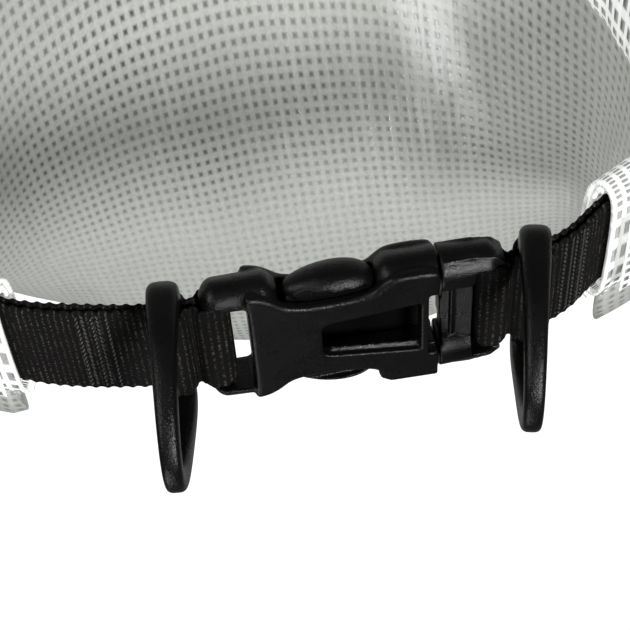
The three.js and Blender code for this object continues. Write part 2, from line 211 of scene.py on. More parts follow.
LINE, LENGTH = smooth_loop(ring_corners(), 60)
RING_LENGTH = LENGTH[-1]
ROLL_START = LENGTH[6 * 60]
ROLL_END = LENGTH[18 * 60]


def on_ring(distance, out, front):
    """Points beside the ring's centre line: how far round, how far out and how far to the front."""
    distance, out, front = np.broadcast_arrays(distance, out, front)
    at = np.mod(distance, RING_LENGTH)

    def point(where):
        where = np.mod(where, RING_LENGTH)
        return np.stack([np.interp(where, LENGTH, LINE[:, k]) for k in range(2)], axis=-1)

    tangent = point(at + 0.6) - point(at - 0.6)
    tangent /= np.linalg.norm(tangent, axis=-1, keepdims=True)
    place = point(at)
    x = place[..., 0] - tangent[..., 1] * out
    y = place[..., 1] + tangent[..., 0] * out
    return np.stack([x, y, front + ROLL_SAG * np.minimum(y, 0) ** 2], axis=-1)


# ---------------------------------------------------------------- mesh helpers


def finish_mesh(bm, name, smooth=True):
    mesh = bpy.data.meshes.new(name)
    bm.to_mesh(mesh)
    bm.free()
    mesh.polygons.foreach_set("use_smooth", np.full(len(mesh.polygons), smooth))
    mesh.update()
    piece = bpy.data.objects.new(name, mesh)
    bpy.context.scene.collection.objects.link(piece)
    return piece


def shaped_grid(name, nu, nv, shape, scale=None, weld=0.0):
    """A grid whose points are moved by shape(u, v), with its UV map in metres."""
    bm = bmesh.new()
    bmesh.ops.create_grid(bm, x_segments=nu, y_segments=nv, size=0.5, calc_uvs=False)
    bm.verts.ensure_lookup_table()
    flat = np.array([v.co[:2] for v in bm.verts]) + 0.5
    places = shape(flat[:, 0], flat[:, 1])
    uv = scale(flat[:, 0], flat[:, 1]) if scale else flat
    layer = bm.loops.layers.uv.new("Weave")
    for face in bm.faces:
        for loop in face.loops:
            loop[layer].uv = uv[loop.vert.index]
    for vert, place in zip(bm.verts, places):
        vert.co = place
    if weld:
        bmesh.ops.remove_doubles(bm, verts=bm.verts, dist=weld)
    return finish_mesh(bm, name)


def apply_modifiers(piece):
    bpy.context.view_layer.update()
    graph = bpy.context.evaluated_depsgraph_get()
    mesh = bpy.data.meshes.new_from_object(piece.evaluated_get(graph))
    old = piece.data
    piece.modifiers.clear()
    piece.data = mesh
    bpy.data.meshes.remove(old)
    return piece


def thicken(piece, thickness, offset=-1.0):
    solid = piece.modifiers.new("Thickness", "SOLIDIFY")
    solid.thickness = thickness
    solid.offset = offset
    solid.use_even_offset = False
    return apply_modifiers(piece)


def box_in(bm, x, y, z, bevel=0.0, segments=2):
    """Adds a box, in millimetres, with its edges rounded."""
    found = bmesh.ops.create_cube(bm, size=1.0)["verts"]
    spans = [(b - a, (a + b) / 2) for a, b in (x, y, z)]
    bmesh.ops.scale(bm, vec=[s for s, _ in spans], verts=found)
    bmesh.ops.translate(bm, vec=[m for _, m in spans], verts=found)
    if bevel:
        edges = list({e for v in found for e in v.link_edges})
        bmesh.ops.bevel(
            bm, geom=edges, offset=bevel, segments=segments, affect="EDGES", profile=0.5, material=-1
        )
    return found


def rod_in(bm, start, end, r1, r2=None, sides=28, squash=(1, 1, 1)):
    """Adds a rod with round ends between two points, in millimetres."""
    r2 = r1 if r2 is None else r2
    start, end = Vector(start), Vector(end)
    axis = end - start
    turn = Vector((0, 0, 1)).rotation_difference(axis).to_matrix().to_4x4()
    place = Matrix.Translation((start + end) / 2) @ turn
    bmesh.ops.create_cone(
        bm, cap_ends=True, segments=sides, radius1=r1, radius2=r2, depth=axis.length, matrix=place
    )
    for centre, radius in ((start, r1), (end, r2)):
        bmesh.ops.create_uvsphere(
            bm, u_segments=sides, v_segments=14, radius=radius, matrix=Matrix.Translation(centre)
        )


def prism_in(bm, corners, low, high, axis="Y"):
    """Adds a flat outline in the X-Z plane (or X-Y), carried from low to high, in millimetres."""
    verts = []
    for a, b in corners:
        verts.append(bm.verts.new((a, low, b) if axis == "Y" else (a, b, low)))
    face = bm.faces.new(verts)
    pushed = bmesh.ops.extrude_face_region(bm, geom=[face])
    moved = [g for g in pushed["geom"] if isinstance(g, bmesh.types.BMVert)]
    step = (0, high - low, 0) if axis == "Y" else (0, 0, high - low)
    bmesh.ops.translate(bm, vec=step, verts=moved)
    faces = {f for v in verts + moved for f in v.link_faces}
    bmesh.ops.recalc_face_normals(bm, faces=list(faces))


def loose_object(bm, name):
    mesh = bpy.data.meshes.new(name)
    bm.to_mesh(mesh)
    bm.free()
    piece = bpy.data.objects.new(name, mesh)
    bpy.context.scene.collection.objects.link(piece)
    return piece


def moulded(name, add, cut, voxel, rounding, late=None):
    """Joins the added solids, takes the cutters away, and rounds every edge, as a mould does."""
    bm = bmesh.new()
    add(bm)
    piece = loose_object(bm, name)

    def join():
        mesh = piece.modifiers.new("Join", "REMESH")
        mesh.mode = "VOXEL"
        mesh.voxel_size = voxel / MM
        mesh.use_smooth_shade = True

    cutters = bmesh.new()
    cut(cutters)
    tool = loose_object(cutters, name + "_cutter")
    taken = piece.modifiers.new("Cut", "BOOLEAN")
    taken.operation = "DIFFERENCE"
    taken.solver = "EXACT"
    taken.use_self = True
    taken.object = tool
    apply_modifiers(piece)
    bpy.data.objects.remove(tool)
    if late:
        bm = bmesh.new()
        bm.from_mesh(piece.data)
        late(bm)
        bm.to_mesh(piece.data)
        bm.free()
    join()
    soft = piece.modifiers.new("Round", "SMOOTH")
    soft.factor = 0.5
    soft.iterations = rounding
    apply_modifiers(piece)
    piece.data.transform(RING @ Matrix.Scale(MM, 4))
    piece.data.polygons.foreach_set("use_smooth", np.full(len(piece.data.polygons), True))
    return piece


# ---------------------------------------------------------------- materials


class Shader:
    """A short way to write a material's nodes."""

    def __init__(self, name):
        self.material = bpy.data.materials.new(name)
        self.material.use_nodes = True
        self.nodes = self.material.node_tree.nodes
        self.links = self.material.node_tree.links
        self.surface = next(n for n in self.nodes if n.type == "BSDF_PRINCIPLED")

    def node(self, kind, inputs=None, **settings):
        made = self.nodes.new(kind)
        for key, value in settings.items():
            setattr(made, key, value)
        for key, value in (inputs or {}).items():
            self.put(made.inputs[key], value)
        return made

    def put(self, socket, value):
        if isinstance(value, bpy.types.NodeSocket):
            self.links.new(value, socket)
        else:
            socket.default_value = value

    def math(self, operation, a, b=0.0, c=0.0):
        return self.node("ShaderNodeMath", {0: a, 1: b, 2: c}, operation=operation).outputs[0]

    def ramp(self, value, low, high, start=0.0, stop=1.0):
        found = self.node(
            "ShaderNodeMapRange",
            {"Value": value, "From Min": low, "From Max": high, "To Min": start, "To Max": stop},
            interpolation_type="SMOOTHSTEP",
        )
        return found.outputs["Result"]

    def blend(self, share, a, b):
        made = self.node("ShaderNodeMix", data_type="RGBA")
        for index, value in ((0, share), (6, a), (7, b)):
            self.put(made.inputs[index], value)
        return made.outputs[2]

    def noise(self, vector, scale, detail=2.0, rough=0.5):
        made = self.node(
            "ShaderNodeTexNoise",
            {"Vector": vector, "Scale": scale, "Detail": detail, "Roughness": rough},
        )
        return made.outputs["Fac"]

    def bump(self, height, distance, strength=1.0, normal=None):
        made = self.node("ShaderNodeBump", {"Height": height, "Distance": distance, "Strength": strength})
        if normal is not None:
            self.put(made.inputs["Normal"], normal)
        return made.outputs["Normal"]

    def place(self):
        return self.node("ShaderNodeTexCoord").outputs["Object"]

    def weave(self):
        uv = self.node("ShaderNodeUVMap", uv_map="Weave").outputs[0]
        split = self.node("ShaderNodeSeparateXYZ", {0: uv})
        return uv, split.outputs[0], split.outputs[1]

    def finish(self, **values):
        for key, value in values.items():
            self.put(self.surface.inputs[key.replace("_", " ")], value)
        return self.material


def scrim_film(name, threads, window_shade, window_pale, pitch, thread_width, soft):
    """Clear film over a grid of flat white threads. The windows between the threads carry painted shade of the bag's
    dark inside, darkest at the front, in the body and round x = 0.04 m; the film also glows a little as painted light
    passing through it.
    """
    s = Shader(name)
    uv, u, v = s.weave()
    wander = s.noise(uv, 140.0, 1.0)
    shift = s.math("MULTIPLY_ADD", wander, 0.0005, -0.00025)
    across = s.math("PINGPONG", s.math("ADD", u, shift), pitch / 2)
    down = s.math("PINGPONG", s.math("ADD", v, shift), pitch / 2)
    half = thread_width / 2
    thread_u = s.ramp(across, half * 0.5, half * (1.0 + soft), 1.0, 0.0)
    thread_v = s.ramp(down, half * 0.5, half * (1.0 + soft), 1.0, 0.0)
    thread = s.math("MAXIMUM", thread_u, thread_v)
    cross = s.math("MULTIPLY", thread_u, thread_v)
    seen = s.node("ShaderNodeSeparateXYZ", {0: s.place()})
    # Painted shade: the windows darken where the bag's dark inside shows through, at the front below y = 0.044 m and
    # in the body below the neck, with darker noisy patches round x = 0.04 m.
    near = s.ramp(seen.outputs[1], 0.006, 0.044, 1.0, 0.0)
    body = s.ramp(seen.outputs[2], 0.36, 0.42, 1.0, 0.0)
    depth = s.math("MAXIMUM", near, body)
    shade_centre = s.ramp(s.math("ABSOLUTE", s.math("SUBTRACT", seen.outputs[0], 0.040)), 0.012, 0.052, 1.0, 0.22)
    loose = s.ramp(s.noise(uv, 17.0, 3.0, 0.55), 0.36, 0.60, 0.35, 1.0)
    patches = s.math("MULTIPLY", s.math("MULTIPLY", depth, shade_centre), loose)
    behind = s.node("ShaderNodeVectorRotate", {"Vector": uv, "Angle": 0.07}, rotation_type="Z_AXIS")
    far = s.node("ShaderNodeSeparateXYZ", {0: behind.outputs[0]})
    far_u = s.ramp(s.math("PINGPONG", far.outputs[0], pitch * 0.515), half * 0.4, half * 1.9, 1.0, 0.0)
    far_v = s.ramp(s.math("PINGPONG", far.outputs[1], pitch * 0.515), half * 0.4, half * 1.9, 1.0, 0.0)
    layer = s.math("MULTIPLY", s.math("MAXIMUM", far_u, far_v), 0.26)
    # Painted shade: the window colour dims to 0.55 in the front and body, and the patches take the darker painted
    # shade colour.
    middle = s.blend(depth, (*window_pale, 1), (*[0.55 * c for c in window_pale], 1))
    shaded_window = s.blend(patches, middle, (*window_shade, 1))
    window = s.blend(layer, shaded_window, (*threads, 1))
    strand = s.ramp(s.noise(uv, 900.0, 2.0), 0.3, 0.7, 0.86, 1.0)
    pale = s.blend(s.math("MULTIPLY", cross, 0.5), (*threads, 1), (*[min(1, c * 1.12) for c in threads], 1))
    lit = s.node("ShaderNodeVectorMath", {0: pale, "Scale": strand}, operation="SCALE").outputs[0]
    colour = s.blend(thread, window, lit)
    height = s.math("ADD", thread, s.math("MULTIPLY", cross, 0.35))
    ripple = s.bump(s.noise(s.place(), 55.0, 3.0), 0.0016, 0.55)
    stretched = s.node("ShaderNodeVectorMath", {0: uv, 1: (75.0, 13.0, 1.0)}, operation="MULTIPLY")
    streaks = s.bump(s.noise(stretched.outputs[0], 1.0, 3.0, 0.6), 0.0035, 0.5, ripple)
    normal = s.bump(height, 0.00012, 0.5, streaks)
    rough = s.math("ADD", s.ramp(thread, 0.0, 1.0, 0.20, 0.34), s.ramp(s.noise(uv, 60.0), 0.3, 0.7, 0.0, 0.12))
    # The emission is painted light: the film glows in its own colour, standing in for light passing through the
    # translucent film.
    return s.finish(
        Base_Color=colour, Roughness=rough, Normal=normal, Coat_Weight=0.42, Coat_Roughness=0.19,
        Specular_IOR_Level=0.5, Emission_Color=colour, Emission_Strength=0.50,
    )


def webbing_weave(name, yarn_glint, rib):
    """Black webbing with ribs across it, with painted highlights as rows of dots on the raised yarns, where they catch
    the light.
    """
    s = Shader(name)
    uv, u, v = s.weave()
    ridge = s.ramp(s.math("PINGPONG", v, rib / 2), 0.0, rib / 2, 1.0, 0.0)
    row = s.math("FLOOR", s.math("DIVIDE", v, rib))
    stagger = s.math("MULTIPLY", s.math("FLOORED_MODULO", row, 2.0), 0.0003)
    yarn = s.ramp(s.math("PINGPONG", s.math("ADD", u, stagger), 0.0003), 0.00006, 0.00028, 1.0, 0.0)
    chance = s.ramp(s.noise(uv, 1500.0, 2.0), 0.42, 0.68)
    drift = s.ramp(s.noise(uv, 130.0, 2.0), 0.35, 0.7, 0.35, 1.0)
    # Painted highlight: the dots on the rib tops take the colour of lit yarns.
    dots = s.math("MULTIPLY", s.math("MULTIPLY", s.ramp(ridge, 0.55, 0.95), yarn), chance)
    share = s.math("MULTIPLY", dots, drift)
    colour = s.blend(share, (0.0040, 0.0037, 0.0036, 1), (*yarn_glint, 1))
    height = s.math("ADD", s.math("MULTIPLY", ridge, 0.6), s.math("MULTIPLY", yarn, 0.4))
    normal = s.bump(height, 0.00025, 0.9)
    return s.finish(
        Base_Color=colour, Roughness=0.85, Normal=normal, Sheen_Weight=0.0, Specular_IOR_Level=0.08,
    )


def moulded_plastic(name, colour):
    """Near-black acetal with a fine spark-eroded grain and faint wear."""
    s = Shader(name)
    place = s.place()
    grain = s.noise(place, 3100.0, 2.0, 0.6)
    cloud = s.noise(place, 130.0, 3.0)
    rough = s.ramp(cloud, 0.3, 0.7, 0.25, 0.34)
    scuff = s.ramp(s.noise(place, 520.0, 4.0, 0.7), 0.66, 0.80)
    tone = s.blend(s.math("MULTIPLY", scuff, 0.25), (*colour, 1), (0.030, 0.029, 0.028, 1))
    normal = s.bump(grain, 0.00022, 0.5)
    return s.finish(Base_Color=tone, Roughness=rough, Normal=normal, Specular_IOR_Level=0.22)


def weld_film(name):
    """The heat-welded strips, where two layers of film are pressed together."""
    s = Shader(name)
    place = s.place()
    split = s.node("ShaderNodeSeparateXYZ", {0: place})
    angle = s.math("ARCTAN2", split.outputs[1], split.outputs[0])
    across = s.math("PINGPONG", s.math("MULTIPLY", angle, 0.122), 0.00185)
    down = s.math("PINGPONG", split.outputs[2], 0.00185)
    thread = s.math(
        "MAXIMUM", s.ramp(across, 0.0007, 0.0012, 1.0, 0.0), s.ramp(down, 0.0007, 0.0012, 1.0, 0.0)
    )
    colour = s.blend(thread, (0.42, 0.43, 0.41, 1), (0.66, 0.67, 0.64, 1))
    press = s.bump(s.noise(place, 320.0, 2.0), 0.0004, 0.5)
    return s.finish(
        Base_Color=colour, Roughness=0.32, Normal=s.bump(thread, 0.0002, 0.6, press), Coat_Weight=0.4,
        Coat_Roughness=0.2,
    )


def thread_black(name):
    s = Shader(name)
    twist = s.node(
        "ShaderNodeTexWave", {"Vector": s.place(), "Scale": 900.0, "Distortion": 2.0}, bands_direction="DIAGONAL"
    )
    colour = s.blend(s.math("MULTIPLY", twist.outputs["Fac"], 0.35), (0.006, 0.006, 0.006, 1), (0.05, 0.048, 0.045, 1))
    return s.finish(
        Base_Color=colour, Roughness=0.55, Normal=s.bump(twist.outputs["Fac"], 0.0001, 0.8),
        Sheen_Weight=0.2,
    )


LOOKS = {}


def look(name):
    if name in LOOKS:
        return LOOKS[name]
    bag, strap, buckle = sizes("bag"), sizes("strap"), sizes("buckle")
    film = tuple(bag.film)
    makers = {
        # The darker window colours in both film looks are painted shade of the inside seen through the film.
        "scrim": lambda: scrim_film(
            "scrim film", film, (0.035, 0.040, 0.038), (0.235, 0.245, 0.232), bag.thread_pitch, 0.0015, 0.7
        ),
        "scrim_roll": lambda: scrim_film(
            "rolled scrim film", (0.80, 0.81, 0.79), (0.045, 0.047, 0.046), (0.16, 0.165, 0.16),
            bag.thread_pitch, 0.0014, 0.2,
        ),
        "webbing": lambda: webbing_weave("ribbed webbing", tuple(strap.yarn_glint), strap.rib_pitch),
        "plastic": lambda: moulded_plastic("moulded acetal", tuple(buckle.plastic)),
        "weld": lambda: weld_film("welded film"),
        "thread": lambda: thread_black("bonded thread"),
    }
    LOOKS[name] = makers[name]()
    return LOOKS[name]


def dress(piece, look_name, body):
    piece.data.materials.clear()
    piece.data.materials.append(look(look_name))
    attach(piece, body)
    return piece


# ---------------------------------------------------------------- bag wall


def wall_points(angle, rise):
    """The wall's outer face in metres: rise 0 is the base, 1 the shoulder and 2 the roll."""
    bag = sizes("bag")
    radius = bag.radius
    angle = np.mod(angle, 2 * math.pi)
    edge = bag.shoulder - bag.shoulder_slope * np.sin(angle)
    low = np.minimum(rise, 1.0)
    height = edge * low
    rounding = np.clip(1 - height / bag.base_round, 0, 1)
    reach = radius - bag.base_round * (1 - np.sqrt(1 - 0.85 * rounding**2))
    wall = np.stack([reach * np.cos(angle), -reach * np.sin(angle), height], axis=-1)

    t = np.clip(rise - 1, 0, 1)[:, None]
    share = np.where(angle <= math.pi, angle / math.pi, 2 - angle / math.pi)
    out = 1.9 * np.clip(np.sin(angle) / 0.16, -1, 1)
    distance = ROLL_START + 3 + (ROLL_END - ROLL_START - 6) * share
    top = to_world(on_ring(distance, out, -ROLL_HALF_WIDTH - 0.6))
    back = (0.5 - 0.5 * np.sin(angle))[:, None]
    leaving = np.array([[0, 0, 1.0]]) * (0.120 + 0.070 * back)
    arriving = np.array(FRONT)[None, :] * (0.095 + 0.090 * back)
    start = np.stack([radius * np.cos(angle), -radius * np.sin(angle), edge], axis=-1)
    neck = (
        start * (2 * t**3 - 3 * t**2 + 1)
        + leaving * (t**3 - 2 * t**2 + t)
        + top * (-2 * t**3 + 3 * t**2)
        + arriving * (t**3 - t**2)
    )
    return np.where(rise[:, None] <= 1, wall, neck)


def wall_normals(angle, rise):
    step = 1e-3
    up = wall_points(angle, np.minimum(rise + step, 2)) - wall_points(angle, np.maximum(rise - step, 0))
    side = wall_points(angle + step, rise) - wall_points(angle - step, rise)
    normal = np.cross(up, side)
    return normal / np.maximum(np.linalg.norm(normal, axis=-1, keepdims=True), 1e-12)


def swell(value, centre, width):
    return np.exp(-(((value - centre) / width) ** 2))


def wall_folds(angle, rise):
    """How far the soft folds lift the film, in metres."""
    depth = sizes("bag").fold_depth
    waves = (
        0.42 * np.sin(3 * angle + 1.3 + 2.1 * rise)
        + 0.30 * np.sin(7 * angle - 0.7 + 3.7 * rise)
        + 0.22 * np.sin(13 * angle + 2.9 - 5.3 * rise + 0.8 * np.sin(4 * angle))
        + 0.16 * np.sin(22 * angle + 0.4 + 4.1 * rise)
    )
    neck = np.clip((rise - 0.85) / 0.4, 0, 1) * np.clip((2.0 - rise) / 0.22, 0, 1)
    body = 0.35 * np.clip((rise - 0.12) / 0.15, 0, 1)
    lift = depth * waves * (0.75 * neck + body * (1 - neck))
    sides = ((1.5 * math.pi + 0.86, 1.0), (1.5 * math.pi - 0.92, 0.9), (0.5 * math.pi - 0.8, 0.7), (0.5 * math.pi + 0.75, 0.7))
    for centre, strength in sides:
        spread = 0.085 + 0.10 * np.clip(2 - rise, 0, 1)
        lean = centre + 0.28 * (rise - 1.5) * np.sign(centre - 1.5 * math.pi)
        crease = swell(angle, lean, spread) - 0.8 * swell(angle, lean + 0.17, spread * 1.2)
        lift = lift + depth * 1.5 * strength * crease * neck
    gear = np.sin(2 * angle + 9.0 * rise) * np.sin(5.0 * rise + 1.0) + 0.5 * np.sin(5 * angle - 11.0 * rise)
    lift = lift + 0.0011 * gear * np.clip((rise - 0.14) / 0.1, 0, 1) * np.clip((1.25 - rise) / 0.3, 0, 1)
    return lift


def wall_surface(angle, rise, out=0.0):
    lift = wall_folds(np.mod(angle, 2 * math.pi), rise)
    return wall_points(angle, rise) + wall_normals(angle, rise) * (lift + out)[:, None]


def wall_lengths(rises):
    """The mean length of film up to each rise."""
    angles = np.linspace(0, 2 * math.pi, 24, endpoint=False)
    total = np.zeros(len(rises))
    for angle in angles:
        line = wall_points(np.full(len(rises), angle), rises)
        total += np.concatenate([[0], np.cumsum(np.linalg.norm(np.diff(line, axis=0), axis=1))])
    return total / len(angles)


class BAG_OT_wall(bpy.types.Operator):
    """Lofts the film from the base to the rolled mouth"""

    bl_idname = "dry_bag.wall"
    bl_label = "Bag wall"

    def execute(self, context):
        bag = sizes("bag")
        low = np.concatenate([[0, 0.003, 0.007, 0.012, 0.018, 0.026], np.linspace(0.04, 1.0, 70)])
        rises = np.concatenate([low, np.linspace(1.0, 2.0, 131)[1:]])
        lengths = wall_lengths(rises)
        rows = len(rises) - 1

        def shape(u, v):
            return wall_surface(u * 2 * math.pi, rises[np.rint(v * rows).astype(int)])

        def scale(u, v):
            girth = round(2 * math.pi * bag.radius / bag.thread_pitch) * bag.thread_pitch
            return np.stack([u * girth, lengths[np.rint(v * rows).astype(int)]], axis=-1)

        wall = shaped_grid("bag_skin", 240, rows, shape, scale, weld=1e-6)
        bm = bmesh.new()
        bm.from_mesh(wall.data)
        bmesh.ops.recalc_face_normals(bm, faces=bm.faces)
        if sum(f.normal.dot(f.calc_center_median() * Vector((1, 1, 0))) for f in bm.faces) < 0:
            bmesh.ops.reverse_faces(bm, faces=bm.faces)
        bm.to_mesh(wall.data)
        bm.free()
        thicken(wall, 0.0007)
        dress(wall, "scrim", "bag")
        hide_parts("bag_wall")
        return {"FINISHED"}


class BAG_OT_seam(bpy.types.Operator):
    """Lays the welded side seam over the wall"""

    bl_idname = "dry_bag.seam"
    bl_label = "Side seam"

    def execute(self, context):
        half = 0.012 / sizes("bag").radius

        def shape(u, v):
            angle = 0.5 * math.pi + (u * 2 - 1) * half
            lip = 0.0009 - 0.0005 * np.abs(u * 2 - 1) ** 6
            return wall_surface(angle, 0.118 + v * 1.38, lip + 0.0004)

        seam = shaped_grid("side_weld", 14, 260, shape, lambda u, v: np.stack([u * 0.024, v * 0.4], axis=-1))
        bm = bmesh.new()
        bm.from_mesh(seam.data)
        if sum(f.normal.y for f in bm.faces) > 0:
            bmesh.ops.reverse_faces(bm, faces=bm.faces)
        bm.to_mesh(seam.data)
        bm.free()
        thicken(seam, 0.0006)
        dress(seam, "weld", "bag")
        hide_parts("side_seam")
        return {"FINISHED"}


class BAG_OT_base(bpy.types.Operator):
    """Dresses the base disc, its welded band and the hidden stiffener"""

    bl_idname = "dry_bag.base"
    bl_label = "Base"

    def execute(self, context):
        for node, name in (("base_disc", "weld"), ("base_band", "weld"), ("mouth_stiffener", "plastic")):
            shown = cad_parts[node]
            shown.data.materials.clear()
            shown.data.materials.append(look(name))
        return {"FINISHED"}


# ---------------------------------------------------------------- rolled mouth


def spiral(turn, lift=0.0):
    """The rolled film's section: how far out and how far to the front, in millimetres."""
    angle = math.pi + 2 * math.pi * turn
    width = ROLL_HALF_WIDTH - ROLL_PITCH * turn - lift
    thick = ROLL_HALF_THICK - ROLL_PITCH * turn - lift
    flat = np.tanh(2.6 * np.cos(angle)) / math.tanh(2.6)
    return thick * np.sin(angle), (width - thick) * flat + thick * np.cos(angle)


class BAG_OT_roll(bpy.types.Operator):
    """Rolls the mouth of the film round and bends it into the ring"""

    bl_idname = "dry_bag.roll"
    bl_label = "Rolled mouth"

    def execute(self, context):
        length = ROLL_END - ROLL_START

        def shape(u, v):
            turn = u * 1.5
            out, front = spiral(turn, 0.05)
            at = ROLL_START + v * length
            soft = np.clip(np.minimum(v, 1 - v) / 0.05, 0, 1)
            out = out * (1 - 0.26 * np.exp(-((np.minimum(v, 1 - v) / 0.03) ** 2)))
            pucker = 0.22 * np.sin(at * 0.33 + 5 * np.sin(at * 0.05)) * soft * np.clip(1.1 - turn, 0.2, 1)
            return to_world(on_ring(at, out - pucker * np.sign(out), front))

        def scale(u, v):
            return np.stack([v * length * MM, u * 1.5 * 0.086], axis=-1)

        roll = shaped_grid("mouth_roll", 116, 420, shape, scale)
        bm = bmesh.new()
        bm.from_mesh(roll.data)
        first = [f for f in bm.faces][: 1]
        centre = Vector(to_world(on_ring(ROLL_START + 0.5, 0.0, 0.0)))
        if first[0].normal.dot(first[0].calc_center_median() - centre) < 0:
            bmesh.ops.reverse_faces(bm, faces=bm.faces)
        bm.to_mesh(roll.data)
        bm.free()
        thicken(roll, 0.0009)
        dress(roll, "scrim_roll", "bag")
        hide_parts("closure_roll")
        return {"FINISHED"}


class BAG_OT_end_patches(bpy.types.Operator):
    """Welds a patch over each end of the roll"""

    bl_idname = "dry_bag.end_patches"
    bl_label = "Roll end patches"

    def execute(self, context):
        for node, end, side in (("end_patch_female", ROLL_START, 1), ("end_patch_male", ROLL_END, -1)):
            def shape(u, v, end=end, side=side):
                front = (u * 2 - 1) * (ROLL_HALF_WIDTH - ROLL_HALF_THICK - 1)
                lip = 0.45 * (1 - np.abs(u * 2 - 1) ** 8) * (1 - np.abs(v * 2 - 1) ** 10)
                return to_world(on_ring(end + side * (1.5 + 23.5 * v), ROLL_HALF_THICK + 0.55 + lip, front))

            patch = shaped_grid(
                node.replace("end_patch", "roll_patch"), 24, 32, shape,
                lambda u, v: np.stack([v * 0.0235, u * 0.024], axis=-1),
            )
            bm = bmesh.new()
            bm.from_mesh(patch.data)
            bm.faces.ensure_lookup_table()
            middle = Vector(to_world(on_ring(end + side * 12, 0.0, 0.0)))
            if bm.faces[10].normal.dot(bm.faces[10].calc_center_median() - middle) < 0:
                bmesh.ops.reverse_faces(bm, faces=bm.faces)
            bm.to_mesh(patch.data)
            bm.free()
            thicken(patch, 0.0004)
            dress(patch, "scrim_roll", "bag")
            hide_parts(node)
        return {"FINISHED"}


# ---------------------------------------------------------------- webbing


def strap_path(side):
    """The webbing's middle line: in over the D-ring's bar, round the buckle's bar and back under."""
    roll_at = ROLL_START if side > 0 else RING_LENGTH - ROLL_END
    end = roll_at + 14

    def level(at):
        flat = 0.86
        over_d = 3.95 * math.exp(-(((at - D_BAR) / 3.3) ** 4) * 0.75)
        over_bar = 3.05 * (1 / (1 + math.exp((at - WEB_BAR - 3.0) / 0.55)))
        return max((flat**6 + over_d**6 + over_bar**6) ** (1 / 6), flat)

    top = [(at, level(at)) for at in np.linspace(end, WEB_BAR, 90)]
    turn = [
        (WEB_BAR - 3.05 * math.sin(a) * 0.98, 3.05 * math.cos(a))
        for a in np.linspace(0, math.pi, 26)[1:-1]
    ]
    bottom = [(at, -out) for at, out in reversed(top)]
    line = np.array(top + turn + bottom)
    length = np.concatenate([[0], np.cumsum(np.linalg.norm(np.diff(line, axis=0), axis=1))])
    return line, length


def webbing(name, side):
    strap = sizes("strap")
    line, length = strap_path(side)
    rib = strap.rib_pitch / MM
    total = length[-1]
    width = strap.width / MM

    def ribs(along):
        return np.abs(np.sin(along * math.pi / rib))

    def shape(u, v):
        along = v * total
        at = np.interp(along, length, line[:, 0])
        out = np.interp(along, length, line[:, 1])
        ahead = np.interp(along + 0.3, length, line[:, 0]), np.interp(along + 0.3, length, line[:, 1])
        behind = np.interp(along - 0.3, length, line[:, 0]), np.interp(along - 0.3, length, line[:, 1])
        slope = np.stack([ahead[0] - behind[0], ahead[1] - behind[1]], axis=-1)
        slope /= np.maximum(np.linalg.norm(slope, axis=-1, keepdims=True), 1e-9)
        turn = u * 2 * math.pi
        half = strap.thickness / MM / 2
        across = np.sign(np.cos(turn)) * np.abs(np.cos(turn)) ** 0.28
        lift = np.sign(np.sin(turn)) * np.abs(np.sin(turn)) ** 0.75
        edge = np.abs(across) ** 14
        rope = 0.30 * edge * np.sin(along * math.pi / rib)
        thick = half * lift * (0.86 + 0.20 * ribs(along))
        front = across * (width / 2 - 0.25 + rope) + 0.18 * np.sin(along * 0.21)
        normal_at, normal_out = slope[:, 1], -slope[:, 0]
        where = at + normal_at * thick
        level = out + normal_out * thick
        return to_world(on_ring(side * where, level, front))

    def scale(u, v):
        turn = u * 2 * math.pi
        across = np.sign(np.cos(turn)) * np.abs(np.cos(turn)) ** 0.28
        return np.stack([across * width / 2 * MM, v * total * MM], axis=-1)

    rows = int(total / rib * 6)
    piece = shaped_grid(name, 56, rows, shape, scale, weld=1e-7)
    bm = bmesh.new()
    bm.from_mesh(piece.data)
    ends = [e for e in bm.edges if e.is_boundary]
    bmesh.ops.holes_fill(bm, edges=ends)
    bmesh.ops.recalc_face_normals(bm, faces=bm.faces)
    bm.to_mesh(piece.data)
    bm.free()
    return piece


class BAG_OT_webbing(bpy.types.Operator):
    """Threads the webbing through the D-rings and round the buckle's bars"""

    bl_idname = "dry_bag.webbing"
    bl_label = "Webbing"

    def execute(self, context):
        fixed = webbing("strap_male", -1)
        dress(fixed, "webbing", "bag")
        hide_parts("webbing_male")
        loose = webbing("strap_female", 1)
        loose.data.materials.append(look("webbing"))
        to_world(on_ring(ROLL_START - 1, 0.0, 0.0))
        to_world(on_ring(D_BAR + 4, 0.0, 0.0))
        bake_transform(loose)
        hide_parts("webbing_female")
        return {"FINISHED"}


def stitch_rows(name, side, distance):
    """Rows of short stitches across the webbing, joined to one mesh."""
    bm = bmesh.new()
    for row in range(5):
        for step in range(18):
            front = -10.6 + step * 1.25 + (row % 2) * 0.5
            at = side * (distance - 3.0 + row * 1.5)
            spot = on_ring(at, 1.72, front)
            tip = on_ring(at + side * (0.35 if row % 2 else -0.35), 1.72, front + 0.85)
            start, end = Vector(to_world(spot)), Vector(to_world(tip))
            turn = Vector((0, 0, 1)).rotation_difference(end - start).to_matrix().to_4x4()
            place = Matrix.Translation((start + end) / 2) @ turn
            made = bmesh.ops.create_uvsphere(bm, u_segments=8, v_segments=6, radius=1.0)["verts"]
            bmesh.ops.scale(bm, vec=(0.0002, 0.0002, (end - start).length * 0.62), verts=made)
            bmesh.ops.transform(bm, matrix=place, verts=made)
    return finish_mesh(bm, name)


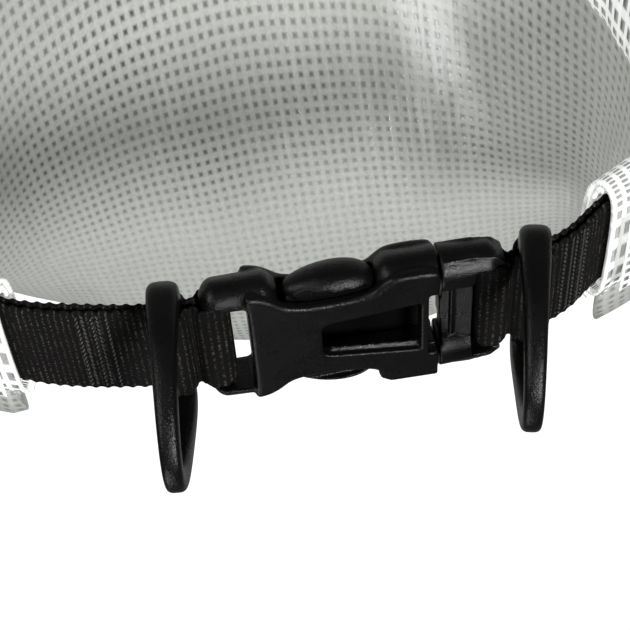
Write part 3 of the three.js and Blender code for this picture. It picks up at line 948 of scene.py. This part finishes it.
class BAG_OT_stitches(bpy.types.Operator):
    """Sews the bar tacks that close the webbing's loops"""

    bl_idname = "dry_bag.stitches"
    bl_label = "Bar tacks"

    def execute(self, context):
        male = stitch_rows("tack_male", -1, D_BAR + 10)
        dress(male, "thread", "bag")
        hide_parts("bar_tack_male")
        female = stitch_rows("tack_female", 1, D_BAR + 15)
        female.data.materials.append(look("thread"))
        to_world(on_ring(ROLL_START - 1, 0.0, 0.0))
        to_world(on_ring(D_BAR + 4, 0.0, 0.0))
        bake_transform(female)
        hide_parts("bar_tack_female")
        return {"FINISHED"}


# ---------------------------------------------------------------- buckle

HALF_THICK = 5.2
HALF_WIDE = 16.5
MALE_EDGE = -17.5
SIDES = (-1, 1)


def plan_in(bm, outline, half, bevel):
    """Adds a slab with a smoothly curved outline in the buckle's plan, its edges rounded."""
    corners = smooth_loop(outline, 5)[0][:-1]
    start = len(bm.verts)
    prism_in(bm, corners, -half, half)
    bm.verts.ensure_lookup_table()
    edges = {e for v in bm.verts[start:] for e in v.link_edges}
    rims = [e for e in edges if abs(e.verts[0].co.y - e.verts[1].co.y) < 1e-6]
    bmesh.ops.bevel(bm, geom=rims, offset=bevel, segments=4, affect="EDGES", profile=0.5, material=-1)


def barrel_in(bm, low, high, centre, r_low, r_high, round_low=False, round_high=False):
    """Adds a barrel along the buckle, flat or rounded at each end."""
    middle = Matrix.Translation(((low + high) / 2, 0, centre)) @ Matrix.Rotation(math.pi / 2, 4, "Y")
    bmesh.ops.create_cone(
        bm, cap_ends=True, segments=48, radius1=r_low, radius2=r_high, depth=high - low, matrix=middle
    )
    for end, radius, rounded in ((low, r_low, round_low), (high, r_high, round_high)):
        if rounded:
            ball = bmesh.ops.create_uvsphere(bm, u_segments=40, v_segments=24, radius=radius)["verts"]
            bmesh.ops.scale(bm, vec=(0.72, 1, 1), verts=ball)
            bmesh.ops.translate(bm, vec=(end, 0, centre), verts=ball)


def mirrored(points):
    """An outline given for the near side, closed round the far side."""
    return points + [(x, -z) for x, z in reversed(points)]


def female_add(bm):
    mouth = MALE_EDGE + 0.4
    near = [
        (mouth, 0), (mouth, 9.0), (mouth, 14.6), (mouth + 0.8, 15.6), (-7.6, 15.6), (-5.4, 14.2), (-3.4, 12.4),
        (1.0, 11.3), (6.0, 11.0), (10.5, 11.1), (14.0, 12.0), (17.0, 14.4), (19.4, 15.6), (21.8, 15.7),
        (21.8, 9.0), (21.8, 0),
    ]
    plan_in(bm, near[1:-1] + [(x, -z) for x, z in reversed(near[1:-1])], HALF_THICK, 1.1)
    for side in SIDES:
        barrel_in(bm, mouth, -7.6, side * 11.75, 5.15, 5.0)
        cap = bmesh.ops.create_uvsphere(bm, u_segments=40, v_segments=24, radius=5.0)["verts"]
        bmesh.ops.scale(bm, vec=(0.75, 1, 1), verts=cap)
        bmesh.ops.translate(bm, vec=(-7.6, 0, side * 11.75), verts=cap)
        barrel_in(bm, 18.6, 27.6, side * 11.95, 4.95, 4.75, True, True)
    box_in(bm, (26.8, 30.7), (-1.9, 1.9), (-13.5, 13.5), 0.9)
    flare = [(mouth, -13.5), (mouth, -17.0), (-7.0, -17.0), (-4.4, -15.2), (-4.4, -13.5)]
    prism_in(bm, flare, 2.6, 4.9)


def female_cut(bm):
    mouth = MALE_EDGE + 0.4
    box_in(bm, (mouth - 2, 16.0), (-3.1, 3.1), (-13.1, 13.1), 0.6)
    box_in(bm, (mouth - 2, mouth + 2.2), (-6, 6), (-9.2, 9.2), 0.5)
    for side in SIDES:
        pocket = [
            (-4.6, 22.0), (-4.6, 14.6), (-3.0, 12.6), (1.0, 11.5), (6.0, 11.2), (10.5, 11.3), (13.8, 12.3),
            (16.2, 14.8), (17.0, 22.0),
        ]
        loop = smooth_loop([(x, side * z) for x, z in pocket], 4)[0][:-1]
        prism_in(bm, loop, -7, 7)
        box_in(bm, (-4.6, 15.2), (-3.2, 3.2), sorted((side * 10.0, side * 20.0)), 0.5)
    for turn in SIDES:
        window = [
            (-13.2, -7.3), (5.2, -5.1), (6.8, -4.4), (7.2, -3.2), (7.2, 3.2), (6.8, 4.4), (5.2, 5.1), (-13.2, 7.3)
        ]
        prism_in(bm, window, *((2.9, 7.0) if turn > 0 else (-7.0, -4.3)))
    box_in(bm, (21.7, 26.8), (-8, 8), (-12.8, 12.8), 0.8)
    box_in(bm, (26.0, 33.0), (1.9, 8.0), (-12.8, 12.8), 0.5)
    box_in(bm, (26.0, 33.0), (-8.0, -1.9), (-12.8, 12.8), 0.5)
    box_in(bm, (30.6, 33.0), (-8.0, 8.0), (-12.8, 12.8), 0.5)


def female_ledges(bm):
    ledge = [(-13.6, -7.9), (5.6, -5.6), (5.5, -4.5), (-13.6, -6.5)]
    prism_in(bm, ledge, 2.9, 3.7)


def male_add(bm):
    for side in SIDES:
        barrel_in(bm, -27.0, MALE_EDGE, side * 11.9, 4.6, 5.1, True, False)
        rail = [
            (MALE_EDGE, side * 11.0), (MALE_EDGE, side * 16.2), (-24.0, side * 16.4), (-29.0, side * 15.6),
            (-31.0, side * 13.6), (-31.0, side * 12.9), (-24.0, side * 12.0),
        ]
        prism_in(bm, rail, -3.0, 3.0)
        box_in(bm, (-22.0, MALE_EDGE + 0.3), (-2.7, 2.7), sorted((side * 9.2, side * 13.4)), 0.5)
    box_in(bm, (-30.6, -26.8), (-1.9, 1.9), (-13.5, 13.5), 0.9)
    slanted = box_in(bm, (-24.5, -17.8), (-3.0, 1.9), (-13.5, 13.5))
    for vert in slanted:
        if vert.co.y > 0:
            vert.co.y -= 0.30 * (vert.co.x + 21)
    ridge = box_in(bm, (-20.4, -19.9), (0.0, 2.2), (-13.0, 13.0))
    for vert in ridge:
        vert.co.y += 0.1


def male_cut(bm):
    box_in(bm, (-26.8, -24.4), (-8, 8), (-12.8, 12.8), 0.3)
    box_in(bm, (-33.0, -26.0), (1.9, 8.0), (-12.8, 12.8), 0.5)
    box_in(bm, (-33.0, -26.0), (-8.0, -1.9), (-12.8, 12.8), 0.5)
    box_in(bm, (-33.0, -30.6), (-8.0, 8.0), (-12.8, 12.8), 0.5)
    for side in SIDES:
        box_in(bm, (-18.2, -16.0), (-8, 8), sorted((side * 3.0, side * 9.0)), 0.2)


def prong_solid(side):
    def add(bm):
        arm = [(-17.0, 8.9), (-14.0, 8.9), (10.5, 9.0), (13.6, 10.2), (13.8, 12.0), (-4.2, 12.1), (-5.4, 11.4), (-17.0, 11.4)]
        prism_in(bm, [(x, side * z) for x, z in arm], -2.6, 2.6)
        button = bmesh.ops.create_uvsphere(bm, u_segments=64, v_segments=40, radius=1.0)["verts"]
        for vert in button:
            vert.co.y = math.copysign(abs(vert.co.y) ** 0.85, vert.co.y) * (1 - 0.15 * vert.co.x)
            vert.co.z *= 1 - 0.20 * vert.co.x
        bmesh.ops.scale(bm, vec=(9.4, 4.55, 3.9), verts=button)
        bmesh.ops.translate(bm, vec=(4.9, 0, side * 12.6), verts=button)

    def cut(bm):
        box_in(bm, (-18.0, 15.0), (-6, 6), sorted((side * 2.0, side * 8.8)))
        shave = [(-6.0, side * 2.0), (15.0, side * 2.0), (15.0, side * 14.7), (-6.0, side * 13.1)]
        prism_in(bm, shave, 2.8, 6.0)
        prism_in(bm, shave, -6.0, -2.8)

    return add, cut


class BAG_OT_buckle(bpy.types.Operator):
    """Moulds the two halves of the side-release buckle and its spring arms"""

    bl_idname = "dry_bag.buckle"
    bl_label = "Buckle"

    def execute(self, context):
        buckle = sizes("buckle")
        voxel = buckle.voxel * 1.0
        female = moulded("female_shell", female_add, female_cut, voxel, buckle.rounding, female_ledges)
        dress(female, "plastic", "female_half")
        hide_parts("buckle_female")
        male = moulded("male_frame", male_add, male_cut, voxel, buckle.rounding)
        dress(male, "plastic", "bag")
        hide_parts("buckle_male")
        for side, name, body in ((1, "prong_front", "front_prong"), (-1, "prong_back", "back_prong")):
            add, cut = prong_solid(side)
            arm = moulded("release_" + name[6:], add, cut, voxel, buckle.rounding)
            dress(arm, "plastic", body)
            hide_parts(name)
        return {"FINISHED"}


# ---------------------------------------------------------------- D-rings


def d_ring_shape(side, lean):
    half, depth = 16.5, 32.0
    bow = [
        (0, 0), (0.45, 0), (0.88, 0), (1.0, 0.035), (1.0, 0.2), (0.92, 0.42), (0.75, 0.64), (0.51, 0.84),
        (0.25, 0.965), (0, 1),
    ]
    corners = [(z * half, y * depth) for z, y in bow]
    corners += [(-z, y) for z, y in corners[-2:0:-1]]
    line, length = smooth_loop(corners, 30)
    bar = on_ring(side * D_BAR, 0.0, 0.0)
    turn = -math.radians(lean)

    def shape(u, v):
        at = u * length[-1]

        def point(where):
            where = np.mod(where, length[-1])
            return np.stack([np.interp(where, length, line[:, k]) for k in range(2)], axis=-1)

        tangent = point(at + 0.8) - point(at - 0.8)
        tangent /= np.linalg.norm(tangent, axis=-1, keepdims=True)
        middle = point(at)
        rise = np.clip(middle[:, 1] / depth, 0, 1)
        foot = swell(middle[:, 1], 3.5, 9.0) * (np.abs(middle[:, 0]) > 12)
        thick = 2.85 - 0.80 * rise + 0.45 * foot
        wide = 2.8 - 0.55 * rise
        angle = v * 2 * math.pi
        power = 0.62
        a = np.sign(np.cos(angle)) * np.abs(np.cos(angle)) ** power
        b = np.sign(np.sin(angle)) * np.abs(np.sin(angle)) ** power
        z = middle[:, 0] + tangent[:, 1] * wide * a
        y = middle[:, 1] - tangent[:, 0] * wide * a
        x = thick * b
        turned = np.stack([x * math.cos(turn) - y * math.sin(turn), x * math.sin(turn) + y * math.cos(turn), z], axis=-1)
        return to_world(turned + bar)

    return shape


class BAG_OT_d_rings(bpy.types.Operator):
    """Bends the two D-rings"""

    bl_idname = "dry_bag.d_rings"
    bl_label = "D-rings"

    def execute(self, context):
        rings = (("d_ring_female", 1, 5, "female_d"), ("d_ring_male", -1, 13, "male_d"))
        for node, side, lean, body in rings:
            ring = shaped_grid("loop_" + node[7:], 260, 40, d_ring_shape(side, lean), weld=1e-7)
            bm = bmesh.new()
            bm.from_mesh(ring.data)
            bmesh.ops.recalc_face_normals(bm, faces=bm.faces)
            bm.to_mesh(ring.data)
            bm.free()
            dress(ring, "plastic", body)
            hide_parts(node)
        return {"FINISHED"}


# ---------------------------------------------------------------- stage


def area_light(name, place, target, size, power, colour=(1, 1, 1)):
    data = bpy.data.lights.new(name, "AREA")
    data.shape = "DISK"
    data.size = size
    data.energy = power
    data.color = colour
    lamp = bpy.data.objects.new(name, data)
    bpy.context.scene.collection.objects.link(lamp)
    lamp.location = place
    lamp.rotation_euler = (Vector(target) - Vector(place)).to_track_quat("-Z", "Y").to_euler()


class BAG_OT_stage(bpy.types.Operator):
    """Sets the floor, the lights and the camera"""

    bl_idname = "dry_bag.stage"
    bl_label = "Stage"

    def execute(self, context):
        scene = bpy.context.scene
        bm = bmesh.new()
        bmesh.ops.create_circle(bm, cap_ends=True, segments=96, radius=6.0)
        floor = finish_mesh(bm, "floor", smooth=False)
        s = Shader("pale floor")
        seen = s.node("ShaderNodeLightPath").outputs["Is Camera Ray"]
        s.finish(
            Base_Color=(0.35, 0.35, 0.35, 1), Roughness=0.9, Emission_Color=(1, 1, 1, 1),
            Emission_Strength=s.math("MULTIPLY", seen, 0.88),
        )
        floor.data.materials.append(s.material)

        world = bpy.data.worlds.new("studio")
        world.use_nodes = True
        tree = world.node_tree
        back = tree.nodes["Background"]
        back.inputs["Color"].default_value = (1.0, 1.0, 1.0, 1)
        path = tree.nodes.new("ShaderNodeLightPath")
        level = tree.nodes.new("ShaderNodeMapRange")
        level.inputs["To Min"].default_value = 0.10
        level.inputs["To Max"].default_value = 0.93
        tree.links.new(path.outputs["Is Camera Ray"], level.inputs["Value"])
        tree.links.new(level.outputs["Result"], back.inputs["Strength"])
        scene.world = world

        aim = BUCKLE
        area_light("key", (-0.42, -0.24, 1.50), aim, 0.30, 15.0)
        area_light("fill", (0.75, -0.65, 1.10), aim, 0.6, 5.0)
        area_light("behind", (0.45, 0.85, 1.25), aim, 0.35, 4.0)

        shot = sizes("stage")
        e = shot.elevation
        sight = Vector((0, math.cos(e), -math.sin(e)))
        right, up = Vector((1, 0, 0)), Vector((0, math.sin(e), math.cos(e)))
        turn = shot.roll
        side = right * math.cos(turn) - up * math.sin(turn)
        head = up * math.cos(turn) + right * math.sin(turn)
        data = bpy.data.cameras.new("camera")
        data.lens = shot.lens
        data.sensor_width = 36.0
        data.clip_start = 0.01
        data.dof.use_dof = False
        camera = bpy.data.objects.new("camera", data)
        scene.collection.objects.link(camera)
        centre = BUCKLE - side * 0.0079 + head * 0.0006
        place = Matrix((side, head, -sight)).transposed().to_4x4()
        place.translation = centre - sight * shot.distance
        camera.matrix_world = place
        scene.camera = camera
        scene.view_settings.view_transform = "Standard"
        return {"FINISHED"}


# ---------------------------------------------------------------- add-on


class BAG_PT_panel(bpy.types.Panel):
    bl_idname = "BAG_PT_panel"
    bl_label = "Dry bag"
    bl_space_type = "VIEW_3D"
    bl_region_type = "UI"
    bl_category = "Dry bag"

    def draw(self, context):
        layout = self.layout
        for group in GROUPS:
            held = sizes(group)
            box = layout.box()
            for name in held.__annotations__:
                box.prop(held, name)
        for operator in OPERATORS:
            layout.operator(operator.bl_idname)


GROUPS = {"bag": BagSizes, "strap": StrapSizes, "buckle": BuckleSizes, "stage": StageSizes}
OPERATORS = (
    BAG_OT_stage,
    BAG_OT_wall,
    BAG_OT_seam,
    BAG_OT_base,
    BAG_OT_roll,
    BAG_OT_end_patches,
    BAG_OT_webbing,
    BAG_OT_stitches,
    BAG_OT_buckle,
    BAG_OT_d_rings,
)


def register():
    for group, held in GROUPS.items():
        bpy.utils.register_class(held)
        setattr(bpy.types.Scene, "dry_bag_" + group, PointerProperty(type=held))
    for made in (*OPERATORS, BAG_PT_panel):
        bpy.utils.register_class(made)


def unregister():
    for made in (BAG_PT_panel, *reversed(OPERATORS)):
        bpy.utils.unregister_class(made)
    for group, held in reversed(GROUPS.items()):
        delattr(bpy.types.Scene, "dry_bag_" + group)
        bpy.utils.unregister_class(held)


def main():
    register()
    for operator in OPERATORS:
        area, name = operator.bl_idname.split(".")
        getattr(getattr(bpy.ops, area), name)()


if __name__ == "__main__":
    main()
